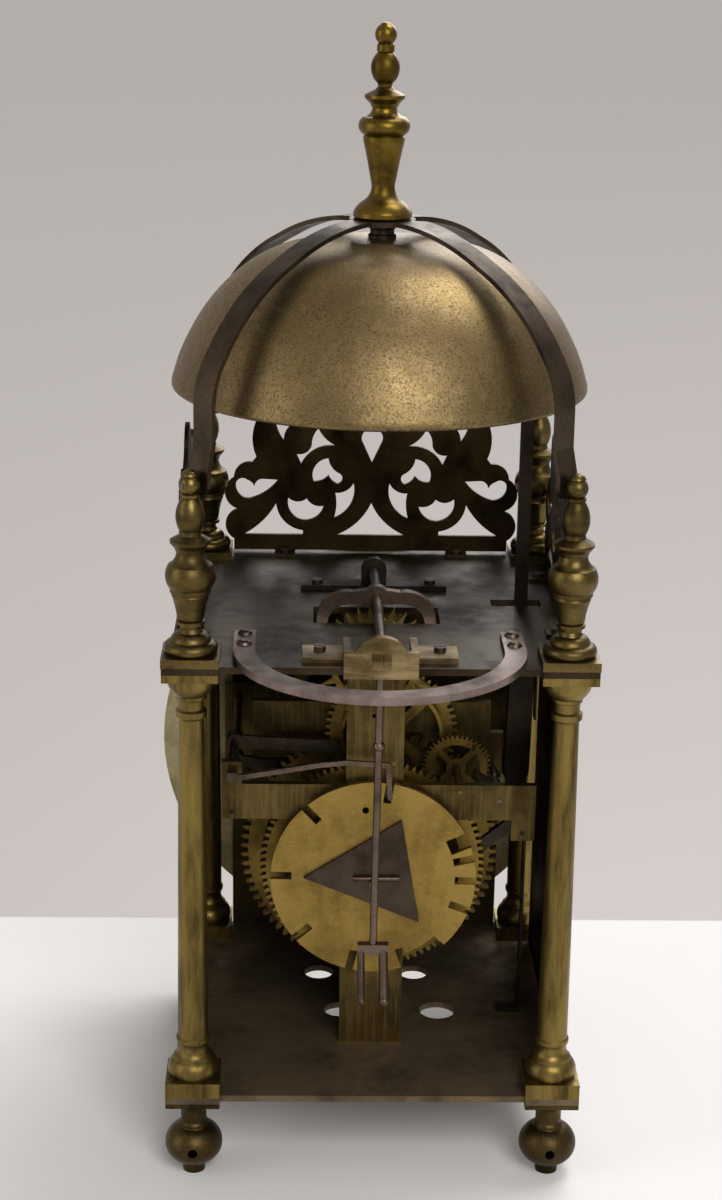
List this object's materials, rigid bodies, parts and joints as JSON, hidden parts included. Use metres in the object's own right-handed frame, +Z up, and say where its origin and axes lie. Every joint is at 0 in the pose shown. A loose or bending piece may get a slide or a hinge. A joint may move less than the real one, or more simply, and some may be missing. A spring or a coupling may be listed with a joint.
{
  "type": "lantern clock",
  "caption": "Weight-driven brass lantern clock with pillared case, domed bell under straps, pierced frets, chapter ring, count-wheel striking and an anchor escapement.",
  "frame": {"origin": "centre of the bounding box at the level of the feet", "axes": "+Z up along the pillars, -Y out of the dial, +X to the right as seen from the dial"},
  "size_m": [0.164, 0.1876, 0.401],
  "materials": {
    "pillar_brass": "aged turned brass, olive brown",
    "plate_brass": "dull brown grey brass plate",
    "wheel_brass": "worn yellow brass",
    "bar_brass": "aged sheet brass",
    "fret_brass": "dark pierced brass",
    "dial_brass": "engraved and waxed brass",
    "bell_metal": "grey bell metal with speckles",
    "dark_iron": "dark forged iron",
    "steel": "worn grey steel",
    "blued_steel": "blackened steel"
  },
  "bodies": {
    "case": {"top_plate": "plate_brass", "bottom_plate": "plate_brass", "pillar_rear_right": "pillar_brass", "pillar_rear_left": "pillar_brass", "pillar_front_right": "pillar_brass", "pillar_front_left": "pillar_brass", "foot_rear_right": "pillar_brass", "foot_rear_left": "pillar_brass", "foot_front_right": "pillar_brass", "foot_front_left": "pillar_brass", "finial_rear_right": "pillar_brass", "finial_rear_left": "pillar_brass", "finial_front_right": "pillar_brass", "finial_front_left": "pillar_brass", "bell_strap": "dark_iron", "bell": "bell_metal", "bell_nut": "dark_iron", "bell_bolt": "dark_iron", "top_finial": "pillar_brass", "strap_pins": "steel", "front_fret": "fret_brass", "left_fret": "fret_brass", "right_fret": "fret_brass", "fret_screws": "steel", "front_bar": "bar_brass", "middle_bar": "bar_brass", "rear_bar": "bar_brass", "dial_stud": "steel", "hammer_spring": "dark_iron", "hammer_stop": "steel", "front_cock": "dark_iron", "rear_cock": "bar_brass", "cock_screws": "steel", "hanging_hoop": "steel", "hoop_rivets": "steel", "dial_plate": "dial_brass", "chapter_ring": "dial_brass", "ring_studs": "steel", "hand_pin": "steel"},
    "left_side_door": {"left_door": "plate_brass"},
    "right_side_door": {"right_door": "plate_brass"},
    "going_great": {"going_great_wheel": "wheel_brass", "going_pulley": "dark_iron"},
    "going_second": {"going_second_wheel": "wheel_brass"},
    "escape": {"escape_wheel": "wheel_brass"},
    "hour": {"hour_wheel": "wheel_brass", "hour_hand": "blued_steel"},
    "strike_great": {"strike_great_wheel": "wheel_brass", "strike_pulley": "dark_iron", "count_wheel": "wheel_brass", "count_wheel_keeper": "steel", "keeper_pin": "steel"},
    "hoop": {"hoop_wheel": "wheel_brass"},
    "warning": {"warning_wheel": "wheel_brass"},
    "air_fly": {"fly": "steel"},
    "striker": {"hammer": "dark_iron"},
    "detent": {"count_detent": "steel"},
    "lifter": {"lifting_lever": "dark_iron"},
    "swing": {"anchor": "steel", "crutch": "steel"}
  },
  "joints": [
    {"name": "going_great_spin", "type": "hinge", "parent": "case", "child": "going_great", "pos_m": [0, -0.0142, 0.0916], "axis": [0, 1, 0], "continuous": true},
    {"name": "going_second_spin", "type": "hinge", "parent": "case", "child": "going_second", "pos_m": [0.003, -0.0142, 0.14402], "axis": [0, 1, 0], "continuous": true},
    {"name": "escape_spin", "type": "hinge", "parent": "case", "child": "escape", "pos_m": [0, -0.0142, 0.177], "axis": [0, 1, 0], "continuous": true},
    {"name": "hour_hand_spin", "type": "hinge", "parent": "case", "child": "hour", "pos_m": [0, -0.0142, 0.115], "axis": [0, 1, 0], "continuous": true},
    {"name": "strike_great_spin", "type": "hinge", "parent": "case", "child": "strike_great", "pos_m": [0, -0.0142, 0.102], "axis": [0, 1, 0], "continuous": true},
    {"name": "hoop_spin", "type": "hinge", "parent": "case", "child": "hoop", "pos_m": [-0.007, -0.0142, 0.14455], "axis": [0, 1, 0], "continuous": true},
    {"name": "warning_spin", "type": "hinge", "parent": "case", "child": "warning", "pos_m": [-0.031, -0.0142, 0.13356], "axis": [0, 1, 0], "continuous": true},
    {"name": "fly_spin", "type": "hinge", "parent": "case", "child": "air_fly", "pos_m": [-0.045, -0.0142, 0.13019], "axis": [0, 1, 0], "continuous": true},
    {"name": "hammer_lift", "type": "hinge", "parent": "case", "child": "striker", "pos_m": [-0.0538, -0.0142, 0.1181], "axis": [0, 1, 0], "range_deg": [-0.1, 5], "stiffness_Nm_per_rad": 0.5},
    {"name": "detent_lift", "type": "hinge", "parent": "case", "child": "detent", "pos_m": [0.051, -0.0142, 0.1419], "axis": [0, 1, 0], "range_deg": [0, 6]},
    {"name": "lifting_lever_lift", "type": "hinge", "parent": "case", "child": "lifter", "pos_m": [0.0515, -0.0142, 0.126], "axis": [0, 1, 0], "range_deg": [0, 8]},
    {"name": "crutch_swing", "type": "hinge", "parent": "case", "child": "swing", "pos_m": [0, -0.0142, 0.2015], "axis": [0, 1, 0], "range_deg": [-2.5, 2.5]},
    {"name": "left_door_swing", "type": "hinge", "parent": "case", "child": "left_side_door", "pos_m": [-0.0676, 0.0378, 0], "axis": [0, 0, 1], "range_deg": [-100, 0]},
    {"name": "right_door_swing", "type": "hinge", "parent": "case", "child": "right_side_door", "pos_m": [0.0676, 0.0378, 0], "axis": [0, 0, 1], "range_deg": [0, 100]}
  ],
  "couplings": [
    {"joint": "going_second_spin", "follows": "going_great_spin", "ratio": -10},
    {"joint": "escape_spin", "follows": "going_great_spin", "ratio": 60},
    {"joint": "hour_hand_spin", "follows": "going_great_spin", "ratio": -0.083333},
    {"joint": "hoop_spin", "follows": "strike_great_spin", "ratio": -13},
    {"joint": "warning_spin", "follows": "strike_great_spin", "ratio": 117},
    {"joint": "fly_spin", "follows": "strike_great_spin", "ratio": -614.25}
  ]
}
